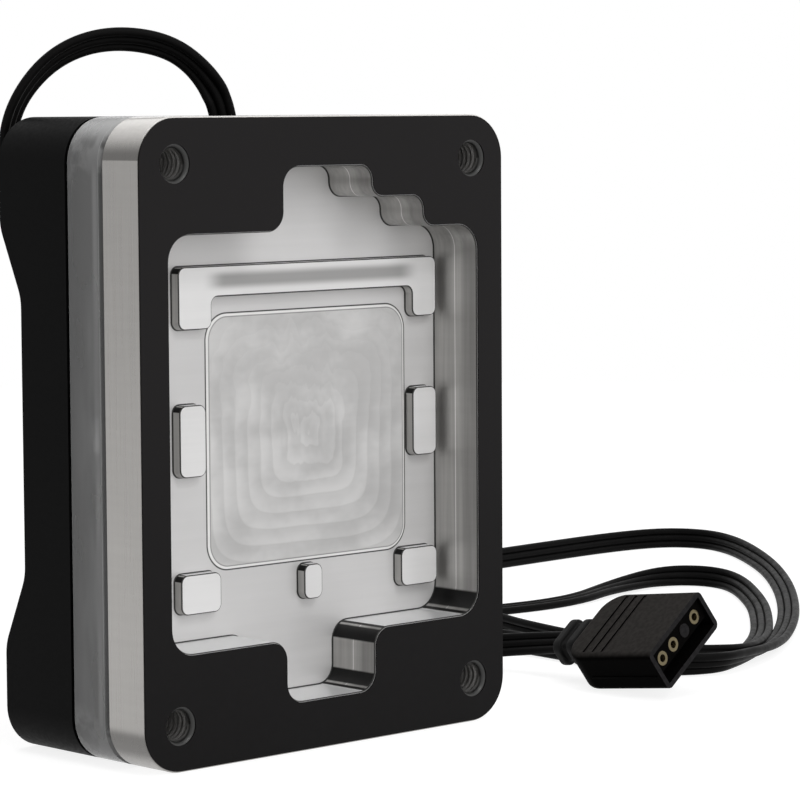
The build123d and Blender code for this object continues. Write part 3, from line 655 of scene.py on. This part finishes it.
lead_end = (PLUG_FACE - PLUG_AXIS * (PLUG_LENGTH + RELIEF_LENGTH)) / MM
route += [lead_end - PLUG_AXIS * LAST_RUN, lead_end]

# How far the ribbon leans from standing on its edge, in degrees, by the number of the route's point
RIBBON_LEAN = [
    (0, 20), (1, 45), (1.7, 58), (2.3, 48), (3, 38), (4, 40), (5, 50), (6, 60), (8, 40), (11, 0),
    (14, 60), (16, 85), (20.5, 85), (22, 20), (23, 25), (24.5, 75), (27, 78), (28.5, 35), (30, 20),
    (38, 12), (39.5, 20), (41, 70), (44.5, 78), (46, 40), (47.5, 20), (52, 25), (56, 30), (58, 55.6),
]

route_curve = bpy.data.curves.new("lead_route", "CURVE")
route_curve.dimensions = "3D"
spline = route_curve.splines.new("NURBS")
spline.points.add(len(route) - 1)
for point, place in zip(spline.points, route):
    point.co = (*(Vector(place) * MM), 1)
spline.order_u = 3
spline.use_endpoint_u = True
spline.resolution_u = ROUTE_STEPS
route_object = bpy.data.objects.new("lead_route", route_curve)
bpy.context.scene.collection.objects.link(route_object)
route_mesh = bpy.data.meshes.new_from_object(route_object)
path = [vertex.co.copy() for vertex in route_mesh.vertices]
bpy.data.objects.remove(route_object)
bpy.data.curves.remove(route_curve)
bpy.data.meshes.remove(route_mesh)


def ribbon_lean(point):
    for (start, first), (stop, last) in zip(RIBBON_LEAN, RIBBON_LEAN[1:]):
        if point <= stop:
            return math.radians(first + (last - first) * (point - start) / (stop - start))
    return math.radians(RIBBON_LEAN[-1][1])


def ribbon_outline():
    """Outline of three wires side by side, with a notch where two of them meet."""
    notch = math.acos(WIRE_PITCH / 2 / WIRE_RADIUS)
    outline = []
    for side in (1, -1):
        for k in range(WIRE_COUNT):
            centre = side * (k - (WIRE_COUNT - 1) / 2) * WIRE_PITCH
            start = math.pi - notch if k > 0 else math.pi
            stop = notch if k < WIRE_COUNT - 1 else 0
            for step in range(ARC_STEPS):
                angle = start + (stop - start) * step / ARC_STEPS
                reach = side * WIRE_RADIUS
                outline.append((centre + reach * math.cos(angle), reach * math.sin(angle)))
    return outline


outline = ribbon_outline()
wide = -heading
corners, faces = [], []
for i, place in enumerate(path):
    along = (path[min(i + 1, len(path) - 1)] - path[max(i - 1, 0)]).normalized()
    carried = (wide - along * wide.dot(along)).normalized()
    wanted = carried
    if along.xy.length > LEVEL_ENOUGH:
        sideways = Vector((-along.y, along.x, 0)).normalized()
        lean = ribbon_lean(i / (len(path) - 1) * (len(route) - 2) + 0.5)
        wanted = along.cross(sideways) * math.cos(lean) + sideways * math.sin(lean)
    if wanted.dot(carried) < 0:
        wanted = -wanted
    wide = carried.lerp(wanted, RIBBON_EASE).normalized()
    thick = along.cross(wide)
    corners += [place + wide * u + thick * v for u, v in outline]
count = len(outline)
for i in range(len(path) - 1):
    for k in range(count):
        a, b = i * count + k, i * count + (k + 1) % count
        faces.append((a, b, b + count, a + count))
faces.append(tuple(range(count))[::-1])
faces.append(tuple(range((len(path) - 1) * count, len(path) * count)))
lead_mesh = bpy.data.meshes.new("light_lead_ribbon")
lead_mesh.from_pydata(corners, [], faces)
lead = new_piece("light_lead_ribbon", lead_mesh)
select_only(lead)
bpy.ops.object.mode_set(mode="EDIT")
bpy.ops.mesh.select_all(action="SELECT")
bpy.ops.mesh.normals_make_consistent(inside=False)
bpy.ops.object.mode_set(mode="OBJECT")
bpy.ops.object.shade_smooth_by_angle(angle=RIBBON_SMOOTH_ANGLE)
jacket, tree, shader = finish("lead_jacket", Specular_IOR_Level=0.04)
scuff, scuff_height = grain(tree, object_place(tree), (700, 700, 700))
link(
    tree, shader, Base_Color=blend(tree, scuff, (0.0030, 0.0029, 0.0029, 1), (0.0055, 0.0053, 0.0053, 1)),
    Roughness=between(tree, scuff, 0.3, 0.7, 0.40, 0.52), Normal=bump(tree, scuff_height, 0.01 * MM, 0.4),
)
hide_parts("light_lead")
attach(lead, "root")
dress(lead, jacket)

# Strain relief: a soft black moulding with two ribs, of the same rubber as the gland. It is
# moulded over the wires where they enter the plug, so that they don't kink there.
RELIEF_EDGE = 0.25 * MM
relief = finished_copy("plug_relief", "plug_strain_relief", RELIEF_EDGE, 3)
dress(relief, rubber)

# Plug housing: a black plastic moulding with an open hood round its bar of sockets. The wires
# are moulded into its back, and its faces keep the fine pits of the mould.
HOUSING_EDGE = 0.12 * MM
DISC_RADIUS = 0.85 * MM
DISC_PLACE = Vector((1.27, 0.425, -0.6)) * MM
moulded, tree, shader = finish("moulded_black", Specular_IOR_Level=0.005)
pit, pit_height = grain(tree, object_place(tree), (1900, 1900, 1900))
facing = tree.nodes.new("ShaderNodeNewGeometry").outputs["Normal"]
from_face = vector(tree, "SUBTRACT", object_place(tree), PLUG_FACE)
height = vector(tree, "DOT_PRODUCT", from_face, PLUG_UP)
# Painted light: faces turned up on the top are painted lighter than the sides
top = between(tree, vector(tree, "DOT_PRODUCT", facing, PLUG_UP), 0.4, 0.95)
top = number(tree, "MULTIPLY", top, between(tree, height, 0.0, 1.0 * MM))
colour = blend(tree, top, (0.0028, 0.0026, 0.0025, 1), (0.040, 0.037, 0.035, 1))
# Painted highlight: faces at the front turned forward, and the spare disc, are painted lighter
rim = between(tree, vector(tree, "DOT_PRODUCT", facing, PLUG_AXIS), 0.6, 0.9)
disc_centre = PLUG_SIDE * DISC_PLACE.x + PLUG_UP * DISC_PLACE.y + PLUG_AXIS * DISC_PLACE.z
spare = vector(tree, "DISTANCE", from_face, disc_centre)
front = number(tree, "GREATER_THAN", vector(tree, "DOT_PRODUCT", from_face, PLUG_AXIS), -0.3 * MM)
front = number(tree, "MAXIMUM", front, number(tree, "LESS_THAN", spare, DISC_RADIUS))
colour = blend(tree, number(tree, "MULTIPLY", rim, front), colour, (0.026, 0.025, 0.026, 1))
colour = blend(tree, 1.0, colour, between(tree, pit, 0.3, 0.7, 0.7, 1.0), "MULTIPLY")
link(
    tree, shader, Base_Color=colour, Roughness=between(tree, pit, 0.3, 0.7, 0.42, 0.55),
    Normal=bump(tree, pit_height, 0.012 * MM, 0.5),
)
housing = finished_copy("plug_housing", "plug_hood", HOUSING_EDGE)
dress(housing, moulded)

# Moulding marks: the thin raised line along the plug's side where the two halves of its mould
# met, and the disc that shuts its spare place. Both are of the housing's own plastic.
MARK_EDGE = 0.03 * MM
LINE_SIZE = Vector((0.2, 0.22, 10.6)) * MM
LINE_PLACE = Vector((-6.05, -0.55, -5.9)) * MM
DISC_THICKNESS = 0.2 * MM
DISC_SIDES = 32
plug_pose = Matrix((PLUG_SIDE, PLUG_UP, PLUG_AXIS)).transposed().to_4x4()
plug_pose.translation = PLUG_FACE
bpy.ops.object.select_all(action="DESELECT")
bpy.ops.mesh.primitive_cube_add(size=1, scale=LINE_SIZE, location=LINE_PLACE)
parting_line = bpy.context.active_object
bpy.ops.object.select_all(action="DESELECT")
bpy.ops.mesh.primitive_cylinder_add(
    vertices=DISC_SIDES, radius=DISC_RADIUS, depth=DISC_THICKNESS, location=DISC_PLACE,
)
spare_disc = bpy.context.active_object
for mark in (parting_line, spare_disc):
    select_only(mark)
    bpy.ops.object.transform_apply(location=True, rotation=True, scale=True)
    add_modifier(mark, "BEVEL", width=MARK_EDGE, segments=2)
    bpy.ops.object.shade_smooth_by_angle(angle=SMOOTH_ANGLE)
    mark.data.transform(plug_pose)
marks = joined([parting_line, spare_disc], "plug_marks")
dress(marks, moulded)

# Contacts: three small sockets turned from brass and a little tarnished. They are pressed into
# three of the bar's four places, and end the lead that they hang on.
CONTACT_EDGE = 0.08 * MM
brass, tree, shader = finish("turned_brass", Metallic=1.0)
tarnish, tarnish_height = grain(tree, object_place(tree), (2200, 2200, 2200))
link(
    tree, shader, Base_Color=blend(tree, tarnish, (0.12, 0.10, 0.06, 1), (0.21, 0.175, 0.105, 1)),
    Roughness=between(tree, tarnish, 0.3, 0.7, 0.3, 0.42),
    Normal=bump(tree, tarnish_height, 0.004 * MM, 0.4),
)
contacts = finished_copy("plug_contacts", "brass_sockets", CONTACT_EDGE)
dress(contacts, brass)

# Floor: a plain round table top of matt pale board that the block and its lead stand on. It
# looks nearly white and keeps the object's soft shadow.
FLOOR_RADIUS = 0.45
FLOOR_MIDDLE = (0.05, 0.03, 0)
FLOOR_SIDES = 96
FLOOR_GLOW = 0.84


def background_rays(tree):
    """One for rays from the camera, through clear pieces and off bright ones, so all see white."""
    rays = tree.nodes.new("ShaderNodeLightPath").outputs
    seen = number(tree, "MAXIMUM", rays["Is Camera Ray"], rays["Is Transmission Ray"])
    return number(tree, "MAXIMUM", seen, rays["Is Glossy Ray"])


bpy.ops.object.select_all(action="DESELECT")
bpy.ops.mesh.primitive_circle_add(
    vertices=FLOOR_SIDES, radius=FLOOR_RADIUS, fill_type="NGON", location=FLOOR_MIDDLE,
)
floor = bpy.context.active_object
floor.name = "floor"
bpy.ops.object.transform_apply(location=True)
table, tree, shader = finish(
    "pale_table", Base_Color=(0.34, 0.34, 0.34, 1), Roughness=0.9, Specular_IOR_Level=0.0,
    Emission_Color=(1, 1, 1, 1),
)
link(tree, shader, Emission_Strength=number(tree, "MULTIPLY", background_rays(tree), FLOOR_GLOW))
floor.data.materials.append(table)

# Studio: a room that looks white, but lights the block more from the right than from the left,
# and least from above. A small softbox hangs over the front, a large one overhead, and a large
# soft fill stands in front.
world = bpy.data.worlds.new("studio")
bpy.context.scene.world = world
world.use_nodes = True
tree = world.node_tree
tree.nodes.clear()
east, north, height = split(tree, tree.nodes.new("ShaderNodeTexCoord").outputs["Generated"])
left = between(tree, north, -0.5, 0.5, 0.16, 0.50)
low = between(tree, east, -0.35, 0.35, left, 0.95)
high = between(tree, north, -0.2, 0.5, 0.05, 0.25)
light = between(tree, height, 0.10, 0.28, low, high)
room = tree.nodes.new("ShaderNodeBackground")
tree.links.new(light, room.inputs["Strength"])
room.inputs["Color"].default_value = (1, 1, 1, 1)
white = tree.nodes.new("ShaderNodeBackground")
white.inputs["Color"].default_value = (1, 1, 1, 1)
choose = tree.nodes.new("ShaderNodeMixShader")
tree.links.new(background_rays(tree), choose.inputs[0])
tree.links.new(room.outputs[0], choose.inputs[1])
tree.links.new(white.outputs[0], choose.inputs[2])
tree.links.new(choose.outputs[0], tree.nodes.new("ShaderNodeOutputWorld").inputs[0])


def softbox(name, place, target, width, height, power):
    lamp = bpy.data.lights.new(name, "AREA")
    lamp.shape = "RECTANGLE"
    lamp.size = width
    lamp.size_y = height
    lamp.energy = power
    box = bpy.data.objects.new(name, lamp)
    box.location = place
    box.rotation_euler = (Vector(target) - Vector(place)).to_track_quat("-Z", "Y").to_euler()
    bpy.context.scene.collection.objects.link(box)
    return box


softbox("front_softbox", (-0.07, -0.65, 0.68), PLATE_MIDDLE, 0.30, 0.14, 1.6)
overhead = softbox("top_softbox", (0.15, 0.15, 1.3), (0.05, 0.02, 0), 1.3, 1.3, 9.0)
overhead.visible_glossy = False
fill = softbox("front_fill", (-0.15, -0.95, 0.35), PLATE_MIDDLE, 1.0, 0.8, 5.5)
fill.visible_glossy = False

# Camera: a long lens on a stand at the block's front left, a little above its middle, turned
# down slightly and hardly rolled.
CAMERA_PLACE = (-0.257107, -0.293815, 0.070611)
CAMERA_TURN = math.radians(-43.526)
CAMERA_TILT = math.radians(90 - 4.796)
CAMERA_ROLL = math.radians(-0.344)
LENS_LENGTH = 156.0
SENSOR_WIDTH = 36.0
NEAREST = 0.01
lens = bpy.data.cameras.new("camera")
lens.sensor_width = SENSOR_WIDTH
lens.lens = LENS_LENGTH
lens.clip_start = NEAREST
camera = bpy.data.objects.new("camera", lens)
bpy.context.scene.collection.objects.link(camera)
camera.matrix_world = (
    Matrix.Translation(CAMERA_PLACE)
    @ Matrix.Rotation(CAMERA_TURN, 4, "Z")
    @ Matrix.Rotation(CAMERA_TILT, 4, "X")
    @ Matrix.Rotation(CAMERA_ROLL, 4, "Z")
)
bpy.context.scene.camera = camera
bpy.context.scene.view_settings.view_transform = "Standard"
